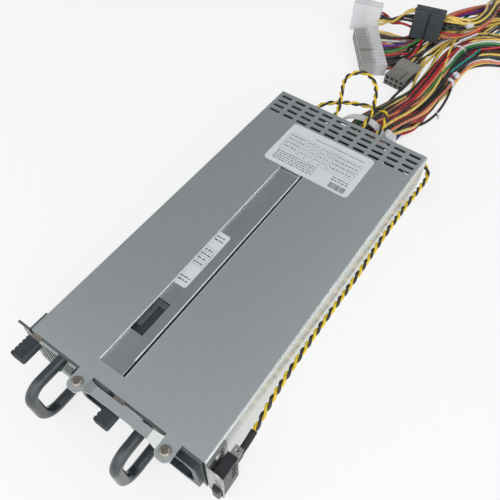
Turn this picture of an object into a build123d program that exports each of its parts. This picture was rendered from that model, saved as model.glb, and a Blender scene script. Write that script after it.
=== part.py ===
from build123d import *
import math
import os

os.makedirs("parts", exist_ok=True)

# Cage: a folded steel box, open at the front, that takes two supply modules
cage_width = 106.0
cage_height = 42.0
module_length = 190.0
rear_bay = 28.5
cage_length = module_length + rear_bay
cage_sheet = 1.0
cage_bend = 1.2
inner_half = cage_width / 2 - cage_sheet
wall_face = cage_width / 2
cover_low = cage_height - cage_sheet

# Vent slots at the rear of the cover
vent_columns = 10
vent_rows = 4
vent_pitch_x = 10.28
vent_pitch_y = 5.07
vent_length = 7.8
vent_width = 2.2
vent_centre_y = cage_length - 11.8

# Long window in the cover over the left module
window_left = -15.8
window_right = 0.4
window_front = 8.0
window_rear = module_length - 18.0

# Two screw tabs in front of the cover and the raised bridge between them
tab_centres = ((-15.7, -6.0), (35.9, -6.1))
tab_width = 8.6
tab_reach = 10.4
tab_corner = 3.4
bridge_rise = 2.0
bridge_ramp = 5.2
bridge_front = -6.9
bridge_rear = -2.4
bridge_flare = 1.0
screw_shank = 1.5
screw_hole = 1.6
screw_reach = 0.7

# Divider between the modules
divider_right = 0.4
divider_sheet = 1.0

# Modules
module_width = 49.2
module_low = 1.05
module_clear = 1.0
module_high = cover_low - module_clear
module_sheet = 0.8
module_edges = {"left": -51.2, "right": 1.8}
tray_high = module_high - module_sheet
tray_floor = module_low + module_sheet
face_sheet = 1.0

# Circuit boards
board_low = 8.8
board_thick = 1.6
card_width = 34.0
card_end = module_length + 10.5
card_clear = 0.1

# Handle loop on each module
handle_x = 18.7
handle_radius = 2.9
handle_high = module_high - 4.0
handle_low = module_low + 4.25
handle_reach = 22.8
handle_corner = 8.5
handle_sink = 0.4

# Mains inlet on each module
inlet_left = 26.2
inlet_width = 22.0
inlet_height = 31.5
inlet_low = module_low + 2.95
inlet_high = inlet_low + inlet_height
inlet_front = -4.0
inlet_rear = 24.0
inlet_neck = 0.9
cavity_width = 16.2
cavity_height = 25.0
cavity_depth = 17.0
cavity_chamfer = 4.0
pin_wide = 4.0
pin_thin = 2.0
pin_column = 33.5
pin_earth = 40.5
pin_spread = 7.0

# Latch on top of each module
lever_low = module_high + 0.1
lever_thick = 0.7
lever_left = 0.2
lever_right = 5.9
lever_pivot_x = 3.4
lever_pivot_y = 22.0
lever_tail = 25.4
pivot_radius = 1.5
pivot_clear = 0.05
cap_left = -0.5
cap_right = 7.6
cap_front = -14.0
cap_rear = -2.6
cap_low = cover_low - 3.0
cap_high = cover_low + 0.6
cap_ribs = 5
cap_pitch = 2.25
cap_rib_radius = 1.3

# Fan in each module
fan_clear = 1.35
fan_side = tray_high - tray_floor - fan_clear
fan_depth = 28.0
fan_front = 36.0
fan_bore = fan_side / 2 - 0.8
fan_tip = fan_bore - 0.7
fan_hub = 8.0
fan_blades = 7

# Rear board with the sockets
rear_board_low = 4.0
rear_board_high = rear_board_low + board_thick
rear_board_front = module_length + 10.8
rear_board_rear = module_length + 26.4
rear_stud_y = module_length + 16.2
socket_width = 40.0
socket_front = module_length + 4.3
socket_rear = module_length + 14.3
socket_high = 13.6
socket_depth = 7.2
header_left = -7.0
header_right = 27.0
header_front = module_length + 18.0
header_rear = module_length + 23.0
header_high = cover_low - 1.5

# Ear brackets and the reset switch
ear_sheet = 1.2
ear_front = -1.0
ear_left_width = 5.8
ear_left_lip = 2.2
ear_left_lip_high = 1.2
ear_right_width = 8.4
ear_right_high = cage_height - 6.0
ear_side_depth = 12.5
ear_side_sheet = 1.4
ear_corner = 4.6
ear_roll = 0.9
ear_hole = 1.5
ear_holes = (9.0, 33.0)
switch_gap = 1.2
switch_left = wall_face + ear_side_sheet + switch_gap
switch_right = wall_face + ear_right_width - 0.2
switch_low = 2.6
switch_high = 33.4
switch_rear = 11.2
blade_x = 58.7
blade_rear = switch_rear + 4.6
button_wall = 0.7
button_left = switch_left + button_wall
button_right = switch_right - button_wall
button_low = 4.2
button_high = 16.6
button_clear = 0.06

# Harness strap at the rear opening
strap_x = 10.0
strap_z = 21.0
strap_inner = 12.6
strap_thick = 1.3
strap_width = 6.6
strap_centre_y = cage_length + 11.0
rear_panel_face = cage_length - 0.1
tongue_rear = cage_length + 15.8
tongue_sheet = 1.1
tongue_high = strap_z - strap_inner + 1.3

# Openings in the rear panel
floor_front = -1.0
opening_low = 4.0
opening_high = cover_low - 2.0
opening_width = 36.0
pair_hole = 2.2
pair_holes = ((-33.0, 31.0), (-16.0, 32.0), (44.0, 24.0))
stud_places = (-46.0, -12.0, 12.0, 46.0)


# A box between two corners, added to the part being built
def block(low, high, mode=Mode.ADD):
    size = [high[i] - low[i] for i in range(3)]
    middle = [(high[i] + low[i]) / 2 for i in range(3)]
    with Locations(tuple(middle)):
        Box(size[0], size[1], size[2], mode=mode)


# A round bar along Z from one height to another
def post(x, y, low, high, radius, mode=Mode.ADD):
    with Locations((x, y, (low + high) / 2)):
        Cylinder(radius, high - low, mode=mode)


# A round bar along Y from one depth to another
def bar_y(x, z, front, rear, radius, mode=Mode.ADD):
    with Locations(Location((x, (front + rear) / 2, z), (90, 0, 0))):
        Cylinder(radius, rear - front, mode=mode)


# A round bar along X
def bar_x(y, z, left, right, radius, mode=Mode.ADD):
    with Locations(Location(((left + right) / 2, y, z), (0, 90, 0))):
        Cylinder(radius, right - left, mode=mode)


def save(piece, label):
    piece.part.label = label
    export_step(piece.part, "parts/" + label + ".step")


# Raised bridge: a folded profile trimmed to a plan that widens at both ends
bridge_left_end = tab_centres[0][0] + tab_width / 2 - 0.2
bridge_right_end = tab_centres[1][0] - tab_width / 2 + 0.2
bridge_left = bridge_left_end + bridge_ramp
bridge_right = bridge_right_end - bridge_ramp
bridge_top = cage_height + bridge_rise
with BuildPart() as bridge:
    with BuildSketch(Plane.XZ.offset(1.0)):
        with BuildLine():
            Polyline(
                (bridge_left_end, cover_low),
                (bridge_left_end, cage_height),
                (bridge_left, bridge_top),
                (bridge_right, bridge_top),
                (bridge_right_end, cage_height),
                (bridge_right_end, cover_low),
                (bridge_right, bridge_top - cage_sheet),
                (bridge_left, bridge_top - cage_sheet),
                close=True,
            )
        make_face()
    extrude(amount=8.0)
    with BuildSketch(Plane.XY.offset(cover_low - 1.0)):
        with BuildLine():
            Polyline(
                (bridge_left_end, bridge_rear + bridge_flare),
                (bridge_left, bridge_rear),
                (bridge_right, bridge_rear),
                (bridge_right_end, bridge_rear + bridge_flare),
                (bridge_right_end, bridge_front - bridge_flare),
                (bridge_right, bridge_front),
                (bridge_left, bridge_front),
                (bridge_left_end, bridge_front - bridge_flare),
                close=True,
            )
        make_face()
    extrude(amount=6.0, mode=Mode.INTERSECT)

# Shell: cover and both side walls in one sheet
with BuildPart() as cage_shell:
    block((-cage_width / 2, 0, 0), (cage_width / 2, cage_length, cage_height))
    top_edges = cage_shell.edges().filter_by(Axis.Y).group_by(Axis.Z)[-1]
    fillet(top_edges, cage_bend)
    block((-inner_half, -1, -1), (inner_half, cage_length + 1, cover_low), Mode.SUBTRACT)
    with BuildSketch(Plane.XY.offset(cover_low)):
        for tab_x, tab_y in tab_centres:
            with Locations((tab_x, -tab_reach / 2 + 2.0)):
                RectangleRounded(tab_width, tab_reach + 4.0, tab_corner)
    extrude(amount=cage_sheet)
    block((-30, 0.2, cover_low - 3), (45, 8, cover_low), Mode.SUBTRACT)
    add(bridge.part)
    for tab_x, tab_y in tab_centres:
        post(tab_x, tab_y, cover_low - 5, cage_height + 1, screw_hole, Mode.SUBTRACT)
    with BuildSketch(Plane.XY.offset(cage_height + 0.5)):
        with Locations((0, vent_centre_y)):
            with GridLocations(vent_pitch_x, vent_pitch_y, vent_columns, vent_rows):
                SlotOverall(vent_length, vent_width)
    extrude(amount=-3.0, mode=Mode.SUBTRACT)
    window_low = (window_left, window_front, cover_low - 1)
    block(window_low, (window_right, window_rear, cage_height + 1), Mode.SUBTRACT)
    # Relief slots low in both walls, where they meet the floor
    for slot_y in (60.0, 130.0):
        block((inner_half - 1, slot_y, 2.0), (wall_face + 1, slot_y + 12.0, 3.2), Mode.SUBTRACT)
        block((-wall_face - 1, slot_y, 2.0), (-inner_half + 1, slot_y + 12.0, 3.2), Mode.SUBTRACT)
save(cage_shell, "cage_shell")

# Floor with the rear panel, its cable opening and the tongue under the harness
with BuildPart() as cage_floor:
    block((-inner_half, floor_front, 0), (inner_half, rear_panel_face, cage_sheet))
    panel_low = (-inner_half, rear_panel_face - cage_sheet, 0)
    block(panel_low, (inner_half, rear_panel_face, cover_low))
    with BuildSketch(Plane.XZ.offset(-rear_panel_face - 1.0)):
        with Locations((strap_x, (opening_low + opening_high) / 2)):
            RectangleRounded(opening_width, opening_high - opening_low, 3.0)
        with Locations((-34.0, 14.0)):
            with GridLocations(7.0, 6.0, 4, 3):
                Circle(2.0)
        with Locations((41.0, 10.0)):
            with GridLocations(7.0, 6.0, 3, 2):
                Circle(2.0)
        with Locations(pair_holes[0], pair_holes[1], pair_holes[2]):
            Circle(pair_hole)
    extrude(amount=3.0, mode=Mode.SUBTRACT)
    # Tongue behind the panel, folded from the floor, that the strap goes around
    block((8.0, rear_panel_face - cage_sheet, 0), (12.0, tongue_rear, cage_sheet))
    block((8.0, tongue_rear - tongue_sheet, 0), (12.0, tongue_rear, tongue_high))
    tongue_top = (8.0, rear_panel_face - cage_sheet, tongue_high - tongue_sheet)
    block(tongue_top, (12.0, tongue_rear, tongue_high))
    for flange_x in (-inner_half, inner_half - cage_sheet):
        flange_low = (flange_x, module_length + 9.0, 0.5)
        block(flange_low, (flange_x + cage_sheet, module_length + 26.0, 12.0))
    for stud_x in stud_places:
        post(stud_x, rear_stud_y, 0.5, rear_board_low, 2.4)
save(cage_floor, "cage_floor")

# Divider between the two module bays
with BuildPart() as cage_divider:
    divider_left = divider_right - divider_sheet
    block((divider_left, 2.0, cage_sheet), (divider_right, module_length + 3.0, cover_low))
save(cage_divider, "cage_divider")

# Pan head screws in the two tabs
with BuildPart() as tab_screws:
    for tab_x, tab_y in tab_centres:
        post(tab_x, tab_y, cover_low - screw_reach, cage_height, screw_shank)
        post(tab_x, tab_y, cage_height, cage_height + 1.9, 2.7)
    head_edges = tab_screws.edges().filter_by(GeomType.CIRCLE).group_by(Axis.Z)[-1]
    fillet(head_edges, 1.2)
    for tab_x, tab_y in tab_centres:
        with Locations((tab_x, tab_y, cage_height + 1.6)):
            Box(2.9, 0.7, 1.4, mode=Mode.SUBTRACT)
            Box(0.7, 2.9, 1.4, mode=Mode.SUBTRACT)
save(tab_screws, "tab_screws")

# Left ear: an angle with its front plate beside the left module and a lip at the top
with BuildPart() as left_ear:
    plate_edge = -wall_face - ear_left_width
    with BuildSketch(Plane.XZ.offset(-ear_front - ear_sheet)) as left_plate:
        with BuildLine():
            Polyline(
                (-wall_face, 0.0),
                (-wall_face, cage_height),
                (plate_edge - ear_left_lip, cage_height),
                (plate_edge - ear_left_lip, cage_height - ear_left_lip_high),
                (plate_edge + 1.6, cage_height - ear_left_lip_high),
                (plate_edge, cage_height - ear_left_lip_high - 4.0),
                (plate_edge, 0.0),
                close=True,
            )
        make_face()
        lower_corner = left_plate.vertices().group_by(Axis.Y)[0].sort_by(Axis.X)[0]
        fillet(lower_corner, ear_corner)
    extrude(amount=ear_sheet)
    side_low = (-wall_face - ear_sheet, ear_front + 0.1, 0.0)
    block(side_low, (-wall_face, ear_side_depth - 2.0, cover_low))
    ear_hole_x = -wall_face - ear_left_width / 2 - 0.7
    for ear_hole_z in ear_holes:
        bar_y(ear_hole_x, ear_hole_z, -3.0, 3.0, ear_hole, Mode.SUBTRACT)
save(left_ear, "left_ear")

# Right ear: front plate with a rolled edge, and a side flange along the cage wall
with BuildPart() as right_ear:
    with BuildSketch(Plane.XZ.offset(-ear_front - ear_sheet)) as right_plate:
        with Locations((wall_face + ear_right_width / 2, ear_right_high / 2)):
            Rectangle(ear_right_width, ear_right_high)
        outer_top = right_plate.vertices().group_by(Axis.Y)[-1].sort_by(Axis.X)[-1]
        fillet(outer_top, ear_corner)
    extrude(amount=ear_sheet)
    front_outline = right_ear.faces().sort_by(Axis.Y)[0].edges()
    rolled = [edge for edge in front_outline if edge.center().X > wall_face + 1 and edge.center().Z > 1]
    fillet(rolled, ear_roll)
    block((wall_face, ear_front + 0.1, 0.0), (wall_face + ear_side_sheet, ear_side_depth, cover_low))
    button_hole_low = (button_left - 0.6, -3, button_low - 0.6)
    block(button_hole_low, (button_right + 0.6, 3, button_high + 0.6), Mode.SUBTRACT)
    with Locations(Location((wall_face + 5.4, 0, ear_right_high - 7.0), (90, 0, 0))):
        Cylinder(0.9, 6, mode=Mode.SUBTRACT)
save(right_ear, "right_ear")

# Rivet heads that hold both ears to the side walls and the walls to the floor's flanges
with BuildPart() as cage_rivets:
    for rivet_z in (4.0, cover_low - 3.0):
        bar_x(6.0, rivet_z, -wall_face - ear_sheet - 0.7, -wall_face - ear_sheet, 1.9)
    bar_x(6.0, cover_low - 3.4, wall_face + ear_side_sheet, wall_face + ear_side_sheet + 0.7, 1.9)
    for rivet_y in (module_length + 12.5, module_length + 22.5):
        bar_x(rivet_y, 7.0, wall_face, wall_face + 0.7, 2.2)
        bar_x(rivet_y, 7.0, -wall_face - 0.7, -wall_face, 2.2)
save(cage_rivets, "cage_rivets")

# Reset switch: body, spring button and two blade terminals
with BuildPart() as switch_body:
    switch_front = ear_front + ear_sheet
    block((switch_left, switch_front, switch_low), (switch_right, switch_rear, switch_high))
    rim = switch_body.edges().filter_by(Axis.Y).group_by(Axis.Z)[-1]
    fillet(rim, 0.5)
    # Windows in the outer side, where the contacts are seen
    for contact_z in (13.5, 20.5, 27.0):
        contact_low = (switch_right - 0.7, 6.4, contact_z)
        block(contact_low, (switch_right + 1, 9.4, contact_z + 3.6), Mode.SUBTRACT)
    block(
        (button_left - button_clear, -1.0, button_low - button_clear),
        (button_right + button_clear, 8.0, button_high + button_clear),
        Mode.SUBTRACT,
    )
save(switch_body, "switch_body")

with BuildPart() as switch_button:
    block((button_left, -3.2, button_low), (button_right, 4.8, button_high))
    front_edges = switch_button.faces().sort_by(Axis.Y)[0].edges()
    fillet(front_edges, 1.0)
save(switch_button, "switch_button")

with BuildPart() as switch_terminals:
    for blade_z in (switch_high - 1.8, 22.0):
        block((blade_x - 2.2, switch_rear, blade_z), (blade_x + 2.2, blade_rear, blade_z + 0.8))
        post(blade_x, blade_rear - 2.2, blade_z - 1, blade_z + 2, 1.0, Mode.SUBTRACT)
save(switch_terminals, "switch_terminals")

# Rear board on its studs, with sockets, capacitors, screws and the wire header
with BuildPart() as rear_board:
    board_half = inner_half - 2.0
    block((-board_half, rear_board_front, rear_board_low), (board_half, rear_board_rear, rear_board_high))
save(rear_board, "rear_board")

with BuildPart() as rear_sockets:
    for edge in module_edges.values():
        middle = edge + module_width / 2
        half = socket_width / 2
        block((middle - half, socket_front, rear_board_high), (middle + half, socket_rear, socket_high))
        slot_half = card_width / 2 + card_clear
        block(
            (middle - slot_half, socket_front - 1, board_low - card_clear),
            (middle + slot_half, socket_front + socket_depth, board_low + board_thick + card_clear),
            Mode.SUBTRACT,
        )
save(rear_sockets, "rear_sockets")

with BuildPart() as rear_capacitors:
    for can_x in (-37.0, -28.0, -19.0, 32.0, 40.5):
        post(can_x, module_length + 21.0, rear_board_high, 20.0, 4.0)
save(rear_capacitors, "rear_capacitors")

with BuildPart() as rear_screws:
    for stud_x in stud_places:
        post(stud_x, rear_stud_y, rear_board_high, rear_board_high + 1.6, 1.8)
save(rear_screws, "rear_screws")

with BuildPart() as wire_header:
    block((header_left, header_front, rear_board_high), (header_right, header_rear, header_high))
save(wire_header, "wire_header")


# Every piece of one module, from its left edge
def build_module(side, edge):
    name = "module_" + side + "_"
    right = edge + module_width
    middle = edge + module_width / 2

    # Tray: floor, both sides and rear wall, with studs for the board
    with BuildPart() as tray:
        block((edge, 0, module_low), (right, module_length, tray_high))
        block(
            (edge + module_sheet, -1, tray_floor),
            (right - module_sheet, module_length - module_sheet, tray_high + 1),
            Mode.SUBTRACT,
        )
        card_half = card_width / 2 + 1.0
        slot_front = (middle - card_half, module_length - 5, board_low - 1.2)
        block(slot_front, (middle + card_half, module_length + 5, board_low + 2.8), Mode.SUBTRACT)
        with BuildSketch(Plane.XZ.offset(-module_length - 1.0)):
            with Locations((middle, 26.0)):
                with GridLocations(5.4, 6.0, 8, 3):
                    RectangleRounded(3.6, 4.2, 0.8)
        extrude(amount=3.0, mode=Mode.SUBTRACT)
        for stud_y in (80.0, module_length - 10.0):
            for stud_x in (edge + 5.5, right - 5.5):
                post(stud_x, stud_y, module_low + 0.2, board_low, 2.4)
    save(tray, name + "tray")

    # Lid with its service opening
    with BuildPart() as lid:
        block((edge, 0, tray_high), (right, module_length, module_high))
        lid_edges = lid.edges().filter_by(Axis.Y).group_by(Axis.Z)[-1]
        fillet(lid_edges, 0.6)
        block((edge + 34.5, 28.6, tray_high - 1), (edge + 42.9, 49.6, module_high + 1), Mode.SUBTRACT)
        post(edge + lever_pivot_x, lever_pivot_y, tray_high - 1, module_high + 1, pivot_radius, Mode.SUBTRACT)
    save(lid, name + "lid")

    # Face plate with the vent grille, inlet cut-out and handle holes
    with BuildPart() as face:
        block((edge, -face_sheet, module_low), (right, 0, module_high))
        block(
            (edge + inlet_left + inlet_neck, -3, inlet_low + inlet_neck),
            (edge + inlet_left + inlet_width - inlet_neck, 3, inlet_high - inlet_neck),
            Mode.SUBTRACT,
        )
        for vent_x in (2.6, 5.4, 8.2, 11.0, 13.8, 16.6, 19.4, 22.2):
            block((edge + vent_x, -3, 9.5), (edge + vent_x + 1.5, 3, module_high - 8.0), Mode.SUBTRACT)
        for hole_z in (handle_low, handle_high):
            bar_y(edge + handle_x, hole_z, -3, 3, screw_hole, Mode.SUBTRACT)
        bar_y(edge + 5.0, 5.4, -3, 3, 1.5, Mode.SUBTRACT)
    save(face, name + "face")

    # Handle: one round bar bent into an upright loop
    with BuildPart() as handle:
        with BuildLine(Plane.YZ.offset(edge + handle_x)) as handle_path:
            FilletPolyline(
                (-face_sheet, handle_high),
                (-handle_reach, handle_high),
                (-handle_reach, handle_low),
                (-face_sheet, handle_low),
                radius=handle_corner,
            )
        handle_plane = Plane(origin=handle_path.line @ 0, z_dir=handle_path.line % 0)
        with BuildSketch(handle_plane):
            Circle(handle_radius)
        sweep()
        for hole_z in (handle_low, handle_high):
            bar_y(edge + handle_x, hole_z, -9.0, 0, screw_shank, Mode.SUBTRACT)
    save(handle, name + "handle")

    with BuildPart() as handle_screws:
        for hole_z in (handle_low, handle_high):
            bar_y(edge + handle_x, hole_z, -9.0, 0, screw_shank)
            bar_y(edge + handle_x, hole_z, 0, 1.8, 2.3)
    save(handle_screws, name + "handle_screws")

    # Mains inlet: bezel, neck through the face and body behind it, with an open cavity
    inlet_middle = edge + inlet_left + inlet_width / 2
    inlet_centre_z = (inlet_low + inlet_high) / 2
    with BuildPart() as inlet:
        block(
            (edge + inlet_left, inlet_front, inlet_low),
            (edge + inlet_left + inlet_width, -face_sheet, inlet_high),
        )
        bezel_edges = inlet.edges().filter_by(Axis.Y)
        fillet(bezel_edges, 1.6)
        block(
            (edge + inlet_left + inlet_neck, -face_sheet - 0.1, inlet_low + inlet_neck),
            (edge + inlet_left + inlet_width - inlet_neck, inlet_rear, inlet_high - inlet_neck),
        )
        with BuildSketch(Plane.XZ.offset(-inlet_front + 1.0)) as cavity:
            with Locations((inlet_middle, inlet_centre_z)):
                Rectangle(cavity_width, cavity_height)
            right_corners = cavity.vertices().group_by(Axis.X)[-1]
            chamfer(right_corners, cavity_chamfer)
        extrude(amount=-cavity_depth - 1.0, mode=Mode.SUBTRACT)
        cavity_floor = inlet_front + cavity_depth
        for pin_x, pin_z in (
            (pin_column, inlet_centre_z - pin_spread),
            (pin_column, inlet_centre_z + pin_spread),
            (pin_earth, inlet_centre_z),
        ):
            block(
                (edge + pin_x - pin_wide / 2, cavity_floor - 1, pin_z - pin_thin / 2),
                (edge + pin_x + pin_wide / 2, inlet_rear + 1, pin_z + pin_thin / 2),
                Mode.SUBTRACT,
            )
    save(inlet, name + "inlet")

    with BuildPart() as pins:
        for pin_x, pin_z in (
            (pin_column, inlet_centre_z - pin_spread),
            (pin_column, inlet_centre_z + pin_spread),
            (pin_earth, inlet_centre_z),
        ):
            block(
                (edge + pin_x - pin_wide / 2, inlet_front + 2.5, pin_z - pin_thin / 2),
                (edge + pin_x + pin_wide / 2, inlet_rear + 5.0, pin_z + pin_thin / 2),
            )
    save(pins, name + "inlet_pins")

    # Latch: a flat lever on an upright pivot pin, with a ribbed thumb cap
    with BuildPart() as lever:
        block(
            (edge + lever_left, cap_rear - 6.0, lever_low),
            (edge + lever_right, lever_tail, lever_low + lever_thick),
        )
        lever_corners = lever.edges().filter_by(Axis.Z).group_by(Axis.Y)[-1]
        fillet(lever_corners, 1.6)
        block((edge - 0.7, 8.0, lever_low), (edge + 1.0, 12.0, lever_low + lever_thick))
        hole_radius = pivot_radius + pivot_clear
        post(edge + lever_pivot_x, lever_pivot_y, lever_low - 1, lever_low + 2, hole_radius, Mode.SUBTRACT)
    save(lever, name + "latch_lever")

    with BuildPart() as pivot:
        post(edge + lever_pivot_x, lever_pivot_y, tray_high, lever_low + lever_thick, pivot_radius)
        post(edge + lever_pivot_x, lever_pivot_y, tray_high - 0.8, tray_high, 2.6)
    save(pivot, name + "latch_pivot")

    with BuildPart() as cap:
        rib_x = edge + cap_left + cap_rib_radius
        block((rib_x, cap_front, cap_low), (edge + cap_right, cap_rear, cap_high))
        front_corner = cap.edges().filter_by(Axis.Z).group_by(Axis.Y)[0].sort_by(Axis.X)[-1:]
        fillet(front_corner, 1.2)
        top_edge = cap.edges().filter_by(Axis.Y).group_by(Axis.Z)[-1].sort_by(Axis.X)[-1:]
        chamfer(top_edge, 0.9)
        for rib in range(cap_ribs):
            post(rib_x, cap_front + cap_rib_radius + rib * cap_pitch, cap_low, cap_high, cap_rib_radius)
        lever_slot = (edge + lever_left, cap_rear - 6.0, lever_low)
        block(lever_slot, (edge + lever_right, cap_rear + 1.0, lever_low + lever_thick), Mode.SUBTRACT)
    save(cap, name + "latch_cap")

    # Fan: square frame with a bearing arm, and a rotor on its shaft
    fan_z = tray_floor + fan_side / 2
    fan_rear = fan_front + fan_depth
    with BuildPart() as fan_frame:
        half = fan_side / 2
        block((middle - half, fan_front, tray_floor), (middle + half, fan_rear, tray_floor + fan_side))
        bar_y(middle, fan_z, fan_front - 1, fan_rear + 1, fan_bore, Mode.SUBTRACT)
        bar_y(middle, fan_z, fan_rear - 3.0, fan_rear, fan_hub)
        with Locations((middle, fan_rear - 1.5, fan_z)):
            Box(2 * fan_bore + 1.0, 3.0, 2.4)
            Box(2.4, 3.0, 2 * fan_bore + 1.0)
        bar_y(middle, fan_z, fan_rear - 4, fan_rear + 1, pivot_radius + pivot_clear, Mode.SUBTRACT)
    save(fan_frame, name + "fan_frame")

    with BuildPart() as rotor:
        bar_y(middle, fan_z, fan_front + 2.0, fan_rear - 3.6, fan_hub)
        bar_y(middle, fan_z, fan_rear - 4.0, fan_rear, pivot_radius)
        for blade in range(fan_blades):
            turn = 360.0 / fan_blades * blade
            reach = (fan_hub + fan_tip) / 2 - 0.4
            blade_x = middle + reach * math.cos(math.radians(turn))
            blade_z = fan_z + reach * math.sin(math.radians(turn))
            spin = Location((blade_x, fan_front + 12.0, blade_z), (0, -turn, 0))
            with Locations(spin * Location((0, 0, 0), (38, 0, 0))):
                Box(fan_tip - fan_hub, 15.0, 1.3)
    save(rotor, name + "fan_rotor")

    # Main board with its card edge, and the parts that stand on it
    with BuildPart() as board:
        board_low_corner = (edge + 2.5, fan_rear + 6.0, board_low)
        block(board_low_corner, (right - 2.5, module_length - 3.0, board_low + board_thick))
        block(
            (middle - card_width / 2, module_length - 4.0, board_low),
            (middle + card_width / 2, card_end, board_low + board_thick),
        )
    save(board, name + "board")

    board_top = board_low + board_thick
    with BuildPart() as sinks:
        for sink_x in (edge + 7.0, right - 10.0):
            sink_front = fan_rear + 20.0
            sink_rear = module_length - 26.0
            block((sink_x, sink_front, board_top), (sink_x + 3.0, sink_rear, board_top + 24.0))
            for fin in range(5):
                fin_z = board_top + 4.0 + fin * 4.6
                block((sink_x - 2.5, sink_front + 2, fin_z), (sink_x + 5.5, sink_rear - 2, fin_z + 1.2))
    save(sinks, name + "heatsinks")

    with BuildPart() as board_parts:
        coil_y = module_length - 58.0
        with Locations((middle, coil_y, board_top + 11.0)):
            Box(17.0, 28.0, 22.0)
            Box(20.0, 18.0, 14.0)
        post(middle, fan_rear + 23.0, board_top, tray_high - 2.8, 9.0)
        post(middle - 5.5, module_length - 34.0, board_top, board_top + 18.0, 4.5)
        post(middle + 5.5, module_length - 34.0, board_top, board_top + 18.0, 4.5)
        post(middle, module_length - 18.0, board_top, board_top + 18.0, 4.5)
    save(board_parts, name + "board_parts")

    # Status light in the face
    with BuildPart() as lamp:
        bar_y(edge + 5.0, 5.4, -2.2, 2.5, 1.5)
    save(lamp, name + "status_lamp")


for module_side, module_edge in module_edges.items():
    build_module(module_side, module_edge)

# Nylon strap around the harness and the tongue, with its square head
with BuildPart() as harness_strap:
    strap_front = strap_centre_y - strap_width / 2
    strap_rear = strap_centre_y + strap_width / 2
    bar_y(strap_x, strap_z, strap_front, strap_rear, strap_inner + strap_thick)
    strap_side = strap_x + strap_inner
    block((strap_side + 0.4, strap_front - 0.8, strap_z), (strap_side + 6.6, strap_rear + 0.8, strap_z + 7.4))
    bar_y(strap_x, strap_z, strap_front - 2, strap_rear + 2, strap_inner, Mode.SUBTRACT)
save(harness_strap, "harness_strap")


# A cord: a round section swept along straight runs with rounded corners.
# Its points give y from the rear edge of the cage.
def cord(route, diameter, label):
    points = [(x, cage_length + y, z) for x, y, z in route]
    radii = []
    steps = list(zip(points, points[1:]))
    runs = [math.dist(a, b) for a, b in steps]
    ways = [[(b[i] - a[i]) / run for i in range(3)] for (a, b), run in zip(steps, runs)]
    for i in range(len(runs) - 1):
        dot = sum(p * q for p, q in zip(ways[i], ways[i + 1]))
        half_turn = math.acos(max(-1.0, min(1.0, dot))) / 2
        radius = 0.45 * min(runs[i], runs[i + 1]) / math.tan(half_turn)
        radii.append(min(radius, 400.0))
    with BuildPart() as tube:
        with BuildLine() as route:
            FilletPolyline(*points, radius=radii)
        with BuildSketch(Plane(origin=route.line @ 0, z_dir=route.line % 0)):
            Circle(diameter / 2)
        sweep()
    length = sum(edge.length for edge in route.edges())
    print(label, "radii", [round(r, 1) for r in radii], "length", round(length, 1))
    section = math.pi * diameter ** 2 / 4
    print(label, "volume over section times length", round(tube.part.volume / (section * length), 4))
    save(tube, label)


# A point ahead of a connector along its own direction on plan
def ahead(x, y, turn, reach):
    return x + reach * math.cos(math.radians(turn)), y + reach * math.sin(math.radians(turn))


# Bundle to the wide board connector
start = header_rear - cage_length
wide_x = -46.8
wide_y = 127.1
wide_turn = 36.0
wide_half = 10.0
wide_z = 5.4
main_diameter = 12.0
main_low = main_diameter / 2 + 0.2
main_route = [
    (11.3, start, 15.8),
    (11.3, 17.5, 15.8),
    (12.0, 44.0, 9.4),
    (13.0, 75.0, main_low),
    (14.7, 112.0, main_low),
    (14.9, 149.0, main_low),
    (17.5, 177.5, main_low),
    (44.0, 197.0, main_low),
    (103.5, 202.2, main_low),
    (111.6, 259.7, main_low),
    (59.4, 285.1, main_low),
    (16.3, 240.5, main_low),
    (-4.5, 209.5, main_low),
    (-13.0, 178.5, main_low),
    (*ahead(wide_x, wide_y, wide_turn, wide_half + 23.7), main_low),
    (*ahead(wide_x, wide_y, wide_turn, wide_half), main_low),
]
cord(main_route, main_diameter, "main_cable")

# Bundle to the eight-way connector
eight_x = -10.1
eight_y = 114.7
eight_turn = 84.8
eight_half = 13.3
eight_z = 5.0
aux_diameter = 8.0
aux_low = aux_diameter / 2 + 0.2
aux_route = [
    (4.9, start, 26.2),
    (4.9, 17.5, 26.2),
    (2.4, 44.0, 16.0),
    (2.0, 73.0, 5.6),
    (4.2, 110.0, aux_low),
    (4.6, 149.0, aux_low),
    (8.4, 184.5, aux_low),
    (34.5, 209.0, aux_low),
    (93.8, 211.6, aux_low),
    (99.6, 253.3, aux_low),
    (61.8, 271.8, aux_low),
    (22.9, 231.5, aux_low),
    (4.6, 198.5, aux_low),
    (-4.4, 169.5, 4.4),
    (*ahead(eight_x, eight_y, eight_turn, eight_half + 19.6), 4.8),
    (*ahead(eight_x, eight_y, eight_turn, eight_half), 4.8),
]
cord(aux_route, aux_diameter, "aux_cable")

# Bundle to the two drive connectors
drive_diameter = 6.6
drive_low = drive_diameter / 2 + 0.2
flat_x = -15.0
flat_y = 160.2
flat_turn = 14.0
flat_half = 12.0
flat_high = 25.0
flat_wire_z = 25.0
drive_route = [
    (15.6, start, 26.9),
    (15.6, 17.5, 26.9),
    (19.2, 44.0, 17.4),
    (22.8, 73.0, 6.0),
    (24.4, 108.0, drive_low),
    (24.8, 143.0, drive_low),
    (27.6, 169.0, drive_low),
    (50.0, 186.1, drive_low),
    (101.3, 191.3, drive_low),
    (124.2, 237.5, drive_low),
    (100.2, 282.5, drive_low),
    (49.7, 289.6, drive_low),
    (26.5, 265.5, 12.0),
    (16.0, 233.5, 21.0),
    (21.4, 196.0, 24.6),
    (*ahead(flat_x, flat_y, flat_turn, flat_half + 20.0), flat_wire_z),
    (*ahead(flat_x, flat_y, flat_turn, flat_half), flat_wire_z),
]
cord(drive_route, drive_diameter, "drive_cable")

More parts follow.
